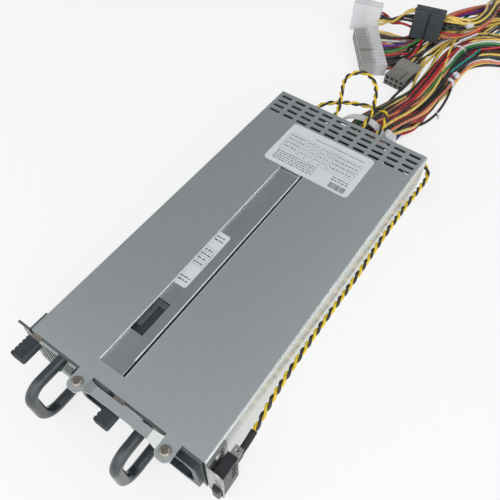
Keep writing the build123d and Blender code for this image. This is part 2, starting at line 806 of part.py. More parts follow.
plug_turn = 15.0
plug_x = -68.4
plug_y = 160.1
plug_z = 12.4
plug_half = 12.0
drive_tail_route = [
    (*ahead(flat_x, flat_y, flat_turn, -flat_half), flat_wire_z),
    (*ahead(flat_x, flat_y, flat_turn, -flat_half - 7.0), flat_wire_z),
    (-42.8, 158.7, 17.0),
    (*ahead(plug_x, plug_y, plug_turn, plug_half + 6.0), plug_z),
    (*ahead(plug_x, plug_y, plug_turn, plug_half), plug_z),
]
cord(drive_tail_route, drive_diameter, "drive_cable_tail")

# Twisted pair along the right wall, from the switch to the rear panel
pair_diameter = 3.2
side_route = [
    (blade_x, blade_rear - cage_length, 22.4),
    (blade_x, 26.4 - cage_length, 22.4),
    (56.2, 48.0 - cage_length, 23.6),
    (55.2, 90.0 - cage_length, 22.4),
    (55.7, -90.5, 20.8),
    (55.1, -53.5, 22.4),
    (55.4, -23.5, 22.0),
    (56.2, -5.5, 21.4),
    (56.4, 7.5, 22.4),
    (49.0, 14.5, 23.4),
    (44.0, 8.9, 24.0),
    (44.0, -1.1, 24.0),
]
cord(side_route, pair_diameter, "side_pair")

# Twisted pairs that loop behind the cage
signal_low_route = [
    (-33.0, -1.1, 31.0),
    (-33.0, 14.5, 31.0),
    (-19.0, 28.5, 30.4),
    (-2.0, 33.5, 31.6),
    (12.0, 29.0, 36.8),
    (17.0, 14.5, 37.2),
    (17.0, start, 37.2),
]
cord(signal_low_route, pair_diameter, "signal_pair_low")

signal_high_route = [
    (-16.0, -1.1, 32.0),
    (-16.0, 14.5, 32.0),
    (-23.5, 30.5, 36.0),
    (-29.0, 44.5, 38.0),
    (-20.0, 56.5, 39.0),
    (-6.0, 47.5, 39.4),
    (1.5, 30.5, 38.6),
    (6.0, 14.5, 37.2),
    (6.0, start, 37.2),
]
cord(signal_high_route, pair_diameter, "signal_pair_high")

# Nylon ties on the loose harness
with BuildPart() as harness_ties:
    main_tie = Plane(origin=(16.0, cage_length + 163.3, main_low), z_dir=(2.6, 28.5, 0))
    drive_tie = Plane(origin=(24.6, cage_length + 125.5, drive_low), z_dir=(0.4, 35.0, 0))
    for tie_plane, tie_inner in ((main_tie, main_diameter / 2), (drive_tie, drive_diameter / 2)):
        with BuildSketch(tie_plane.offset(-1.5)):
            Circle(tie_inner + 1.3)
            Circle(tie_inner + 0.3, mode=Mode.SUBTRACT)
        extrude(amount=3.0)
save(harness_ties, "harness_ties")


# A connector housing laid out along its own axes, then moved to its place
def connector(label, place, size, rows, columns, pitch, hole, latch):
    length, width, height = size
    with BuildPart() as housing:
        Box(length, width, height)
        with Locations((length / 2 - 4.5, 0, 0)):
            Box(9.0, width + 1.2, height + 0.8)
        housing_edges = housing.edges().filter_by(Axis.X)
        fillet(housing_edges, 0.35)
        with Locations((-length / 2 + 6.5, 0, height / 2 + 0.9)):
            Box(13.0, latch, 1.0)
        with Locations((-length / 2 + 10.5, 0, height / 2 + 0.4)):
            Box(4.0, latch, 1.2)
        with Locations((-length / 2 + 2.0, 0, height / 2 + 0.9)):
            Box(3.0, latch, 2.2)
        # Grooves between the ways, on the upper and lower faces of the mating end
        for column in range(columns - 1):
            groove_y = (column + 1 - columns / 2) * pitch
            for groove_z in (-height / 2, height / 2):
                with Locations((-length / 2 + 4.0, groove_y, groove_z)):
                    Box(9.0, 0.7, 0.9, mode=Mode.SUBTRACT)
        with BuildSketch(Plane.YZ.offset(-length / 2 - 1.0)):
            with GridLocations(pitch, pitch, columns, rows):
                Rectangle(hole, hole)
        extrude(amount=9.0, mode=Mode.SUBTRACT)
    placed = housing.part.moved(place)
    with BuildPart() as moved_housing:
        add(placed)
    save(moved_housing, label)


# Wide board connector, eight-way connector and four-way drive connector
wide_place = Location((wide_x, cage_length + wide_y, wide_z), (0, 0, wide_turn))
eight_place = Location((eight_x, cage_length + eight_y, eight_z), (0, 0, eight_turn))
connector("main_plug", wide_place, (2 * wide_half, 51.6, 9.6), 2, 12, 4.2, 2.9, 13.0)
connector("aux_plug", eight_place, (2 * eight_half, 17.2, 9.0), 2, 4, 4.2, 2.9, 8.0)

# Four-way drive connector, standing on its edge
with BuildPart() as drive_plug_housing:
    Box(24.0, 9.8, 24.0)
    with BuildSketch(Plane.YZ.offset(-13.0)):
        Rectangle(7.6, 21.6)
    extrude(amount=10.0, mode=Mode.SUBTRACT)
    with Locations((-10.0, 4.9, 0), (-10.0, -4.9, 0)):
        Box(4.2, 1.4, 6.0, mode=Mode.SUBTRACT)
    with BuildSketch(Plane.YZ.offset(-4.0)):
        with GridLocations(5.1, 5.1, 1, 4):
            Circle(1.5)
    extrude(amount=6.0, mode=Mode.SUBTRACT)
with BuildPart() as drive_plug:
    add(drive_plug_housing.part.moved(Location((plug_x, cage_length + plug_y, plug_z), (0, 0, plug_turn))))
save(drive_plug, "drive_plug")

# Flat drive connector, standing on its edge with the wires through it
with BuildPart() as flat_plug_housing:
    Box(2 * flat_half, 7.0, flat_high)
    plug_edges = flat_plug_housing.edges().filter_by(Axis.Z)
    fillet(plug_edges, 0.8)
    with Locations((-6.1, -4.3, 0), (6.1, -4.3, 0)):
        Box(11.0, 1.8, flat_high - 1.2)
    bar_edges = flat_plug_housing.faces().sort_by(Axis.Y)[0:2].edges()
    chamfer(bar_edges, 0.4)
with BuildPart() as flat_plug:
    add(flat_plug_housing.part.moved(Location((flat_x, cage_length + flat_y, flat_wire_z), (0, 0, flat_turn))))
save(flat_plug, "flat_plug")
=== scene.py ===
import bpy, math, random
import bmesh
from mathutils import Vector, Matrix, noise


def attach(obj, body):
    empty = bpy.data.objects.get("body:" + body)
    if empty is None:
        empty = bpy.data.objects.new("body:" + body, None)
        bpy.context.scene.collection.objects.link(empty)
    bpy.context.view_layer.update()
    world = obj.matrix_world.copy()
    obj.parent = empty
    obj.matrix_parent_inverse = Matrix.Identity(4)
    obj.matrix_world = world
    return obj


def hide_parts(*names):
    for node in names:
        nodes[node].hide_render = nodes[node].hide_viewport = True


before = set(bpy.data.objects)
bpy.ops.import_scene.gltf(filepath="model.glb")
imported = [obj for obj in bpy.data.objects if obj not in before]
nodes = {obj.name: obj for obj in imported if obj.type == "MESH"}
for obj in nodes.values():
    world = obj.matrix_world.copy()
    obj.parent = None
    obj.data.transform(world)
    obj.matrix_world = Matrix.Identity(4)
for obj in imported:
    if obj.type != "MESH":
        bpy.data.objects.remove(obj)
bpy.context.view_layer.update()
scene = bpy.context.scene
scene.view_settings.view_transform = "Standard"
MM = 0.001

# The photograph's width and the focal length in its pixels, and the sensor's width in mm
PHOTO_PX = 500.0
FOCAL_PX = 536.525
SENSOR = 36.0
# Outside diameter of a wire in the bundles and radius of a wire in the twisted pairs, metres
WIRE = 0.0021
PAIR_RADIUS = 0.0008
# Heights of the sheets that carry labels, and the labels' thickness, mm
COVER_TOP = 42.0
LID_TOP = 40.0
LABEL_THICK = 0.12
MARK_LIFT = 0.01
# Left edge of each module, mm
MODULE_EDGES = (("left", -51.2), ("right", 1.8))

# ---------------------------------------------------------------- camera
cam_data = bpy.data.cameras.new("camera")
cam_data.sensor_width = SENSOR
cam_data.lens = SENSOR * FOCAL_PX / PHOTO_PX
cam_data.clip_start = 0.01
cam_data.clip_end = 20.0
cam = bpy.data.objects.new("camera", cam_data)
scene.collection.objects.link(cam)
right = Vector((0.8160552835, 0.5777394001, 0.0164608569))
down = Vector((0.4795847330, -0.6609675778, -0.5771657864))
forward = Vector((-0.3225713225, 0.4788935652, -0.8164610800))
basis = Matrix((right, -down, -forward)).transposed().to_4x4()
cam.matrix_world = Matrix.Translation(Vector((0.0967622, -0.0372766, 0.2739958))) @ basis
scene.camera = cam


# ---------------------------------------------------------------- materials
def new_material(name):
    m = bpy.data.materials.new(name)
    m.use_nodes = True
    return m, m.node_tree.nodes, m.node_tree.links


def add_noise(n, l, vector, scale, detail):
    t = n.new("ShaderNodeTexNoise")
    t.inputs["Scale"].default_value = scale
    t.inputs["Detail"].default_value = detail
    l.new(vector, t.inputs["Vector"])
    return t


def add_ramp(n, l, value, low_at, high_at):
    ramp = n.new("ShaderNodeValToRGB")
    ramp.color_ramp.elements[0].position = low_at
    ramp.color_ramp.elements[1].position = high_at
    l.new(value, ramp.inputs["Fac"])
    return ramp


def add_range(n, l, value, from_min, from_max, to_min=0.0, to_max=1.0):
    r = n.new("ShaderNodeMapRange")
    r.inputs["From Min"].default_value = from_min
    r.inputs["From Max"].default_value = from_max
    r.inputs["To Min"].default_value = to_min
    r.inputs["To Max"].default_value = to_max
    l.new(value, r.inputs["Value"])
    return r


def add_mix(n, l, factor, socket, colour):
    """The colour over what comes from the socket, by the factor."""
    mx = n.new("ShaderNodeMix")
    mx.data_type = "RGBA"
    l.new(factor, mx.inputs["Factor"])
    l.new(socket, mx.inputs["A"])
    mx.inputs["B"].default_value = (*colour, 1)
    return mx.outputs["Result"]


def surface(name, low, high, rough=(0.4, 0.5), metal=0.0, scale=40.0, stretch=(1, 1, 1), bump=0.02,
            bump_scale=900.0, spec=0.5, coat=0.0, trans=0.0, sub=0.0, speck=None, depth=0.00005, side=None):
    """Two tones mixed by noise, roughness by a second noise and a fine bump.

    speck is the scale, threshold and colour of small spots. side is painted light: the paler colour and the
    roughness given to the faces that look along +X, so that they read as brightly lit.
    """
    m, n, l = new_material(name)
    b = n["Principled BSDF"]
    co = n.new("ShaderNodeTexCoord")
    mp = n.new("ShaderNodeMapping")
    mp.inputs["Scale"].default_value = stretch
    l.new(co.outputs["Object"], mp.inputs["Vector"])
    tones = add_noise(n, l, mp.outputs[0], scale, 6.0)
    tones.inputs["Roughness"].default_value = 0.62
    ramp = add_ramp(n, l, tones.outputs["Fac"], 0.34, 0.66)
    ramp.color_ramp.elements[0].color = (*low, 1)
    ramp.color_ramp.elements[1].color = (*high, 1)
    colour = ramp.outputs["Color"]
    if speck:
        spots = add_noise(n, l, co.outputs["Object"], speck[0], 2.0)
        where = add_ramp(n, l, spots.outputs["Fac"], speck[1], min(1.0, speck[1] + 0.08))
        colour = add_mix(n, l, where.outputs["Color"], colour, speck[2])
    wear = add_noise(n, l, mp.outputs[0], scale * 3.1, 4.0)
    level = add_range(n, l, wear.outputs["Fac"], 0.3, 0.7, rough[0], rough[1]).outputs[0]
    # Painted light: faces that look along +X are mixed towards the paler side colour and its roughness
    if side:
        g = n.new("ShaderNodeNewGeometry")
        xyz = n.new("ShaderNodeSeparateXYZ")
        l.new(g.outputs["Normal"], xyz.inputs[0])
        painted_light_side_mask = add_range(n, l, xyz.outputs["X"], 0.2, 0.55).outputs[0]
        colour = add_mix(n, l, painted_light_side_mask, colour, side[0])
        mf = n.new("ShaderNodeMix")
        l.new(painted_light_side_mask, mf.inputs["Factor"])
        l.new(level, mf.inputs["A"])
        mf.inputs["B"].default_value = side[1]
        level = mf.outputs["Result"]
    l.new(colour, b.inputs["Base Color"])
    l.new(level, b.inputs["Roughness"])
    grain = add_noise(n, l, mp.outputs[0], bump_scale, 3.0)
    bp = n.new("ShaderNodeBump")
    bp.inputs["Strength"].default_value = bump
    bp.inputs["Distance"].default_value = depth
    l.new(grain.outputs["Fac"], bp.inputs["Height"])
    l.new(bp.outputs[0], b.inputs["Normal"])
    for key, value in (("Metallic", metal), ("Specular IOR Level", spec), ("Coat Weight", coat),
                       ("Coat Roughness", 0.12), ("Transmission Weight", trans), ("Subsurface Weight", sub),
                       ("Subsurface Radius", (0.004, 0.004, 0.004))):
        b.inputs[key].default_value = value
    return m


def grey(v, tint=(1, 1, 1)):
    return tuple(v * c for c in tint)


cool = (0.93, 1.0, 1.01)
# The cover's side colour is painted light: its right-hand wall and bend show paler than the top
zinc = surface("zinc", grey(0.560, cool), grey(0.585, cool), (0.42, 0.46), 0.92, 420.0, (1, 1, 1), 0.22,
               1300.0, speck=(1900.0, 0.62, grey(0.62, cool)), depth=0.00004, side=((0.72, 0.74, 0.71), 0.36))
zinc_wall = surface("zinc_wall", grey(0.52, cool), grey(0.60, cool), (0.34, 0.46), 0.92, 40.0, (1, 0.4, 1),
                    0.25, 1200.0)
module_zinc = surface("module_zinc", grey(0.50, cool), grey(0.56, cool), (0.28, 0.34), 0.95, 160.0,
                      (1, 0.2, 1), 0.08, 1400.0, depth=0.00003)
# Painted shade and light: the face plates and the left ear take a darker copy of the steel for their shade, the
# right ear a paler copy for its light
painted_shade_steel = surface("painted_shade_steel", grey(0.21, cool), grey(0.27, cool), (0.30, 0.42), 0.92, 60.0,
                      (1, 1, 0.2), 0.25, 1300.0)
steel = surface("steel", (0.48, 0.49, 0.49), (0.58, 0.58, 0.57), (0.22, 0.36), 0.95, 60.0, (1, 1, 0.2), 0.2,
                1300.0)
painted_light_ear_steel = surface("painted_light_ear_steel", (0.38, 0.39, 0.39), (0.48, 0.48, 0.47), (0.26, 0.38), 0.95, 90.0,
                    (1, 1, 0.3), 0.2, 1500.0)
screw_steel = surface("screw_steel", (0.33, 0.29, 0.26), (0.41, 0.37, 0.33), (0.26, 0.36), 0.9, 300.0,
                      (1, 1, 1), 0.05, 2200.0)
warm_steel = surface("warm_steel", (0.34, 0.30, 0.25), (0.44, 0.39, 0.33), (0.3, 0.42), 0.9, 120.0,
                     (1, 1, 1), 0.2)
# Painted highlights: pale materials for the beads and plates that stand in for light caught along sheet edges and
# bends
painted_edge_highlight = surface("painted_edge_highlight", (0.78, 0.80, 0.80), (0.86, 0.87, 0.87), (0.3, 0.4), 0.3, 200.0,
                      (1, 0.1, 1), 0.1)
painted_bend_highlight = surface("painted_bend_highlight", (0.70, 0.75, 0.75), (0.77, 0.81, 0.81), (0.5, 0.6), 0.55, 60.0,
                    (1, 0.1, 1), 0.05)
pocket_dark = surface("pocket_dark", (0.030, 0.036, 0.040), (0.045, 0.052, 0.057), (0.35, 0.5), 0.2, 120.0)
pocket_mid = surface("pocket_mid", (0.085, 0.100, 0.108), (0.110, 0.125, 0.132), (0.35, 0.5), 0.3, 120.0)
black_gloss = surface("black_gloss", (0.026, 0.034, 0.040), (0.034, 0.043, 0.050), (0.30, 0.36), 0.0, 90.0,
                      (1, 1, 1), 0.02, 700.0, 0.6, 0.35)
black_plastic = surface("black_plastic", (0.014, 0.016, 0.019), (0.024, 0.026, 0.030), (0.34, 0.46), 0.0,
                        120.0, (1, 1, 1), 0.4, 2600.0)
cap_plastic = surface("cap_plastic", (0.020, 0.029, 0.036), (0.034, 0.044, 0.052), (0.36, 0.48), 0.0, 200.0,
                      (1, 1, 1), 0.4, 2600.0)
inlet_plastic = surface("inlet_plastic", (0.024, 0.031, 0.040), (0.040, 0.049, 0.058), (0.30, 0.42), 0.0,
                        160.0, (1, 1, 1), 0.4, 2400.0)
flat_plastic = surface("flat_plastic", (0.040, 0.048, 0.058), (0.058, 0.068, 0.080), (0.38, 0.50), 0.0, 110.0,
                       (1, 1, 1), 0.4, 2200.0)
fan_black = surface("fan_black", (0.012, 0.012, 0.012), (0.02, 0.02, 0.02), (0.4, 0.55), 0.0, 150.0)
board_green = surface("board_green", (0.015, 0.07, 0.035), (0.03, 0.12, 0.06), (0.3, 0.4), 0.0, 240.0,
                      speck=(900.0, 0.62, (0.35, 0.36, 0.30)))
socket_white = surface("socket_white", (0.62, 0.61, 0.57), (0.70, 0.69, 0.65), (0.35, 0.45), 0.0, 150.0)
can_dark = surface("can_dark", (0.015, 0.018, 0.05), (0.03, 0.03, 0.08), (0.25, 0.4), 0.0, 90.0)
aluminium = surface("aluminium", (0.60, 0.61, 0.62), (0.72, 0.73, 0.74), (0.3, 0.42), 0.95, 70.0, (1, 0.2, 1),
                    0.2)
nylon = surface("nylon", (0.70, 0.69, 0.74), (0.78, 0.77, 0.82), (0.24, 0.34), scale=60.0, bump=0.1,
                trans=0.10, sub=0.25)


def housing(name, place, turn, length, pitch, mating, wire_end, line, shift=0.0):
    """Clear moulded nylon: two tones along the housing and a darker line at each way inside it."""
    m = surface(name, mating, wire_end, (0.16, 0.26), scale=60.0, bump=0.08, coat=0.1, trans=0.22, sub=0.3)
    n, l = m.node_tree.nodes, m.node_tree.links
    co = n.new("ShaderNodeTexCoord")
    mp = n.new("ShaderNodeMapping")
    mp.vector_type = "TEXTURE"
    mp.inputs["Location"].default_value = [c * MM for c in place]
    mp.inputs["Rotation"].default_value = (0, 0, math.radians(turn))
    l.new(co.outputs["Object"], mp.inputs["Vector"])
    xyz = n.new("ShaderNodeSeparateXYZ")
    l.new(mp.outputs[0], xyz.inputs[0])
    along = add_range(n, l, xyz.outputs["X"], -0.10 * length * MM, 0.16 * length * MM)
    along.interpolation_type = "SMOOTHSTEP"
    cloud = add_noise(n, l, co.outputs["Object"], 130.0, 2.0)
    blend = n.new("ShaderNodeMath")
    blend.operation = "MULTIPLY_ADD"
    blend.inputs[1].default_value = 0.5
    blend.inputs[2].default_value = -0.25
    l.new(cloud.outputs["Fac"], blend.inputs[0])
    total = n.new("ShaderNodeMath")
    total.use_clamp = True
    l.new(along.outputs[0], total.inputs[0])
    l.new(blend.outputs[0], total.inputs[1])
    tone = n.new("ShaderNodeMix")
    tone.data_type = "RGBA"
    tone.inputs["A"].default_value = (*mating, 1)
    tone.inputs["B"].default_value = (*wire_end, 1)
    l.new(total.outputs[0], tone.inputs["Factor"])
    step = n.new("ShaderNodeMath")
    step.operation = "MULTIPLY_ADD"
    step.inputs[1].default_value = 1000.0 / pitch
    step.inputs[2].default_value = shift
    l.new(xyz.outputs["Y"], step.inputs[0])
    saw = n.new("ShaderNodeMath")
    saw.operation = "PINGPONG"
    saw.inputs[1].default_value = 0.5
    l.new(step.outputs[0], saw.inputs[0])
    lines = add_range(n, l, saw.outputs[0], 0.10, 0.02, 0.0, 0.55)
    colour = add_mix(n, l, lines.outputs[0], tone.outputs["Result"], line)
    l.new(colour, n["Principled BSDF"].inputs["Base Color"])
    return m


plug_milky = housing("plug_milky", (-68.4, 378.6, 12.4), 15.0, 24.0, 5.1, (0.84, 0.85, 0.87),
                     (0.93, 0.94, 0.95), (0.62, 0.63, 0.66), 0.5)
plug_grey = housing("plug_grey", (-46.8, 345.6, 5.4), 36.0, 20.0, 4.2, (0.42, 0.41, 0.39), (0.74, 0.74, 0.76),
                    (0.20, 0.19, 0.19), 0.5)
plug_small = housing("plug_small", (-10.1, 333.2, 5.0), 84.8, 26.6, 4.2, (0.25, 0.24, 0.225),
                     (0.34, 0.33, 0.31), (0.16, 0.15, 0.14))
lamp_green = surface("lamp_green", (0.05, 0.30, 0.10), (0.08, 0.40, 0.14), (0.1, 0.2), 0.0, 200.0, trans=0.4)
label_white = surface("label_white", (0.62, 0.64, 0.65), (0.67, 0.69, 0.70), (0.34, 0.46), 0.0, 90.0,
                      (1, 1, 1), 0.03, 1500.0)
ink = surface("ink", (0.04, 0.04, 0.045), (0.07, 0.07, 0.08), (0.5, 0.6), 0.0, 400.0)
pale_ink = surface("pale_ink", (0.12, 0.125, 0.13), (0.17, 0.175, 0.18), (0.5, 0.6), 0.0, 400.0)
glue = surface("glue", (0.74, 0.73, 0.70), (0.82, 0.81, 0.78), (0.3, 0.45), 0.0, 120.0)
sleeve = surface("sleeve", (0.010, 0.011, 0.012), (0.020, 0.021, 0.022), (0.32, 0.44), 0.0, 200.0, (1, 1, 1),
                 0.3)


def wire(name, colour):
    dark = tuple(c * 0.72 for c in colour)
    return surface("wire_" + name, dark, colour, (0.24, 0.34), scale=160.0, bump=0.2, bump_scale=1100.0,
                   coat=0.15)


wires = {name: wire(name, colour) for name, colour in (
    ("black", (0.020, 0.021, 0.024)), ("red", (0.56, 0.018, 0.028)), ("yellow", (0.86, 0.62, 0.13)),
    ("orange", (0.72, 0.22, 0.11)), ("violet", (0.10, 0.04, 0.30)), ("green", (0.03, 0.24, 0.06)),
    ("teal", (0.02, 0.28, 0.26)), ("white", (0.70, 0.70, 0.68)), ("brown", (0.20, 0.055, 0.025)),
)}
pair_mats = [wire("pair_yellow", (0.88, 0.62, 0.02)), wires["black"]]

looks = {
    "cage_shell": zinc, "cage_floor": zinc_wall, "cage_divider": zinc_wall, "tab_screws": screw_steel,
    "cage_rivets": steel, "left_ear": painted_shade_steel, "right_ear": painted_light_ear_steel, "switch_body": black_plastic,
    "switch_button": black_plastic, "switch_terminals": steel, "rear_board": board_green,
    "rear_sockets": socket_white, "rear_capacitors": can_dark, "rear_screws": steel, "wire_header": black_plastic,
    "harness_strap": nylon, "harness_ties": nylon, "main_plug": plug_grey, "aux_plug": plug_small,
    "drive_plug": plug_milky, "flat_plug": flat_plastic,
}
module_looks = {
    "tray": module_zinc, "lid": module_zinc, "face": painted_shade_steel, "handle": black_gloss, "handle_screws": steel,
    "inlet": inlet_plastic, "inlet_pins": steel, "latch_lever": warm_steel, "latch_cap": cap_plastic,
    "latch_pivot": steel, "fan_frame": fan_black, "fan_rotor": fan_black, "board": board_green,
    "heatsinks": aluminium, "board_parts": can_dark, "status_lamp": lamp_green,
}
for side in ("left", "right"):
    for key, value in module_looks.items():
        looks["module_" + side + "_" + key] = value
for key, value in looks.items():
    data = nodes[key].data
    data.materials.clear()
    data.materials.append(value)


# ---------------------------------------------------------------- mesh helpers
def mesh_piece(name, verts, faces, mats, picks=None, smooth=True):
    """A linked mesh object; picks gives each face the number of its material."""
    data = bpy.data.meshes.new(name)
    data.from_pydata([tuple(v) for v in verts], [], faces)
    for m in mats:
        data.materials.append(m)
    if picks:
        for poly, k in zip(data.polygons, picks):
            poly.material_index = k
    for poly in data.polygons:
        poly.use_smooth = smooth
    data.update()
    piece = bpy.data.objects.new(name, data)
    scene.collection.objects.link(piece)
    return piece


def carried_frames(points):
    """Tangent, side and up at each point, with the side kept as level as it can be."""
    out = []
    for i, p in enumerate(points):
        a = points[max(0, i - 1)]
        b = points[min(len(points) - 1, i + 1)]
        t = (b - a).normalized()
        s = t.cross(Vector((0, 0, 1)))
        if s.length < 0.15 and out:
            s = out[-1][1] - t * out[-1][1].dot(t)
        s.normalize()
        out.append((t, s, s.cross(t).normalized()))
    return out


def add_tube(verts, faces, picks, points, radius, pick, sides=7):
    """Adds a tube with closed ends along the points to the lists of a mesh."""
    base = len(verts)
    side = None
    for i, p in enumerate(points):
        a = points[max(0, i - 1)]
        b = points[min(len(points) - 1, i + 1)]
        t = (b - a).normalized()
        if side is None:
            side = t.cross(Vector((0, 0, 1)))
            if side.length < 0.2:
                side = t.cross(Vector((1, 0, 0)))
        side = (side - t * side.dot(t)).normalized()
        up = side.cross(t)
        for k in range(sides):
            w = 2 * math.pi * k / sides
            verts.append(p + side * (radius * math.cos(w)) + up * (radius * math.sin(w)))
    n = len(points)
    for i in range(n - 1):
        for k in range(sides):
            q = (k + 1) % sides
            faces.append((base + i * sides + k, base + i * sides + q, base + (i + 1) * sides + q,
                          base + (i + 1) * sides + k))
            picks.append(pick)
    faces.append(tuple(base + k for k in reversed(range(sides))))
    faces.append(tuple(base + (n - 1) * sides + k for k in range(sides)))
    picks.extend((pick, pick))


def even(points, step):
    """The same line with points about a step apart, and its length."""
    total = [0.0]
    for a, b in zip(points, points[1:]):
        total.append(total[-1] + (b - a).length)
    count = max(2, int(round(total[-1] / step)))
    out = []
    j = 0
    for i in range(count + 1):
        s = total[-1] * i / count
        while j < len(points) - 2 and total[j + 1] < s:
            j += 1
        span = total[j + 1] - total[j]
        f = 0.0 if span == 0 else (s - total[j]) / span
        out.append(points[j].lerp(points[j + 1], f))
    return out, total[-1]


def route_line(name, route, step=0.003):
    """Points along the smooth curve whose control points are the route's, in metres."""
    curve = bpy.data.curves.new(name + "_line", "CURVE")
    curve.dimensions = "3D"
    curve.resolution_u = 24
    spline = curve.splines.new("NURBS")
    spline.points.add(len(route) - 1)
    for point, place in zip(spline.points, route):
        point.co = (place[0] * MM, place[1] * MM, place[2] * MM, 1.0)
    spline.order_u = 3
    spline.use_endpoint_u = True
    holder = bpy.data.objects.new(name + "_line", curve)
    line = bpy.data.meshes.new_from_object(holder)
    points = [v.co.copy() for v in line.vertices]
    bpy.data.objects.remove(holder)
    return even(points, step)


# ---------------------------------------------------------------- cord routes, mm
main_route = [
    (11.3, 213.0, 15.8), (11.3, 236.0, 15.8), (12.0, 262.5, 9.4), (13.0, 293.5, 6.2), (14.7, 330.5, 6.2),
    (14.9, 367.5, 6.2), (17.5, 396.0, 6.2), (44.0, 415.5, 6.2), (103.5, 420.7, 6.2), (111.6, 478.2, 6.2),
    (59.4, 503.6, 6.2), (16.3, 459.0, 6.2), (-4.5, 428.0, 6.2), (-13.0, 397.0, 6.2), (-19.536, 365.408, 6.2),
    (-38.710, 351.478, 6.2),
]
aux_route = [
    (4.9, 213.0, 26.2), (4.9, 236.0, 26.2), (2.4, 262.5, 16.0), (2.0, 291.5, 5.6), (4.2, 328.5, 4.2),
    (4.6, 367.5, 4.2), (8.4, 403.0, 4.2), (34.5, 427.5, 4.2), (93.8, 430.1, 4.2), (99.6, 471.8, 4.2),
    (61.8, 490.3, 4.2), (22.9, 450.0, 4.2), (4.6, 417.0, 4.2), (-4.4, 388.0, 4.4), (-7.118, 365.965, 4.8),
    (-8.895, 346.445, 4.8),
]
drive_route = [
    (15.6, 213.0, 26.9), (15.6, 236.0, 26.9), (19.2, 262.5, 17.4), (22.8, 291.5, 6.0), (24.4, 326.5, 3.5),
    (24.8, 361.5, 3.5), (27.6, 387.5, 3.5), (50.0, 404.6, 3.5), (101.3, 409.8, 3.5), (124.2, 456.0, 3.5),
    (100.2, 501.0, 3.5), (49.7, 508.1, 3.5), (26.5, 484.0, 12.0), (16.0, 452.0, 21.0), (21.4, 414.5, 24.6),
    (16.049, 386.441, 25.0), (-3.356, 381.603, 25.0),
]
drive_tail_route = [
    (-26.644, 375.797, 25.0), (-33.436, 374.104, 25.0), (-42.8, 377.2, 17.0), (-51.013, 383.259, 12.4),
    (-56.809, 381.706, 12.4),
]
side_route = [
    (58.7, 15.8, 22.4), (58.7, 26.4, 22.4), (56.2, 48.0, 23.6), (55.2, 90.0, 22.4), (55.7, 128.0, 20.8),
    (55.1, 165.0, 22.4), (55.4, 195.0, 22.0), (56.2, 213.0, 21.4), (56.4, 226.0, 22.4), (49.0, 233.0, 23.4),
    (44.0, 227.4, 24.0), (44.0, 217.4, 24.0),
]
signal_low_route = [
    (-33.0, 217.4, 31.0), (-33.0, 233.0, 31.0), (-19.0, 247.0, 30.4), (-2.0, 252.0, 31.6), (12.0, 247.5, 36.8),
    (17.0, 233.0, 37.2), (17.0, 213.0, 37.2),
]
signal_high_route = [
    (-16.0, 217.4, 32.0), (-16.0, 233.0, 32.0), (-23.5, 249.0, 36.0), (-29.0, 263.0, 38.0), (-20.0, 275.0, 39.0),
    (-6.0, 266.0, 39.4), (1.5, 249.0, 38.6), (6.0, 233.0, 37.2), (6.0, 213.0, 37.2),
]


def packed(count, reach, seed):
    """First places for wires in a round bundle, on a spiral and in shuffled order."""
    rng = random.Random(seed)
    spots = []
    for i in range(count):
        r = reach * math.sqrt((i + 0.5) / count)
        w = i * 2.39996
        spots.append([r * math.cos(w), r * math.sin(w)])
    rng.shuffle(spots)
    return spots


def relax(spots, reach, gap, floor, rounds):
    """Pushes places apart to the gap, and keeps them within the reach and above the floor."""
    for _ in range(rounds):
        for i in range(len(spots)):
            for j in range(i + 1, len(spots)):
                dx = spots[j][0] - spots[i][0]
                dy = spots[j][1] - spots[i][1]
                d2 = dx * dx + dy * dy
                if d2 < gap * gap:
                    d = math.sqrt(d2) or 1e-6
                    push = (gap - d) / d * 0.5
                    spots[i][0] -= dx * push
                    spots[i][1] -= dy * push
                    spots[j][0] += dx * push
                    spots[j][1] += dy * push
        for s in spots:
            d = math.hypot(s[0], s[1])
            if d > reach:
                s[0] *= reach / d
                s[1] *= reach / d
            if s[1] < floor:
                s[1] = floor


def ease(w):
    """0 to 1 with level ends."""
    w = max(0.0, min(1.0, w))
    return w * w * (3 - 2 * w)


def wire_tracks(points, count, reach, gap, seed, wander=0.5, heads=None, tails=None, run=0.03):
    """For each wire, its place in the bundle's section at every point of the line."""
    spots = packed(count, reach(0.0), seed)
    relax(spots, reach(0.0), gap, -1.0, 40)
    tracks = [[] for _ in range(count)]
    n = len(points)
    for i in range(n):
        limit = reach(i / (n - 1))
        for k, s in enumerate(spots):
            q = Vector((i * 0.035, k * 7.31 + seed, 0.0))
            s[0] += wander * gap * noise.noise(q)
            s[1] += wander * gap * noise.noise(q + Vector((0, 0, 31.7)))
        floor = gap * 0.5 - points[i].z + 0.00005
        relax(spots, limit, gap, max(floor, -limit), 7)
        for k, s in enumerate(spots):
            tracks[k].append((s[0], s[1]))
    past = [0.0]
    for a, b in zip(points, points[1:]):
        past.append(past[-1] + (b - a).length)
    for places, from_end in ((heads, False), (tails, True)):
        if not places:
            continue
        for k in range(count):
            for i in range(n):
                left = past[-1] - past[i] if from_end else past[i]
                if left < run:
                    w = ease(1.0 - left / run)
                    x, y = tracks[k][i]
                    tracks[k][i] = (x + (places[k][0] - x) * w, y + (places[k][1] - y) * w)
    for _ in range(3):
        for k in range(count):
            t = tracks[k]
            middle = [tuple((t[i - 1][j] + 2 * t[i][j] + t[i + 1][j]) / 4 for j in (0, 1)) for i in range(1, n - 1)]
            tracks[k] = [t[0]] + middle + [t[-1]]
    return tracks


def in_space(points, frames, track, first, last):
    """The wire's points from the first to before the last one."""
    return [points[i] + frames[i][1] * track[i][0] + frames[i][2] * track[i][1] for i in range(first, last)]


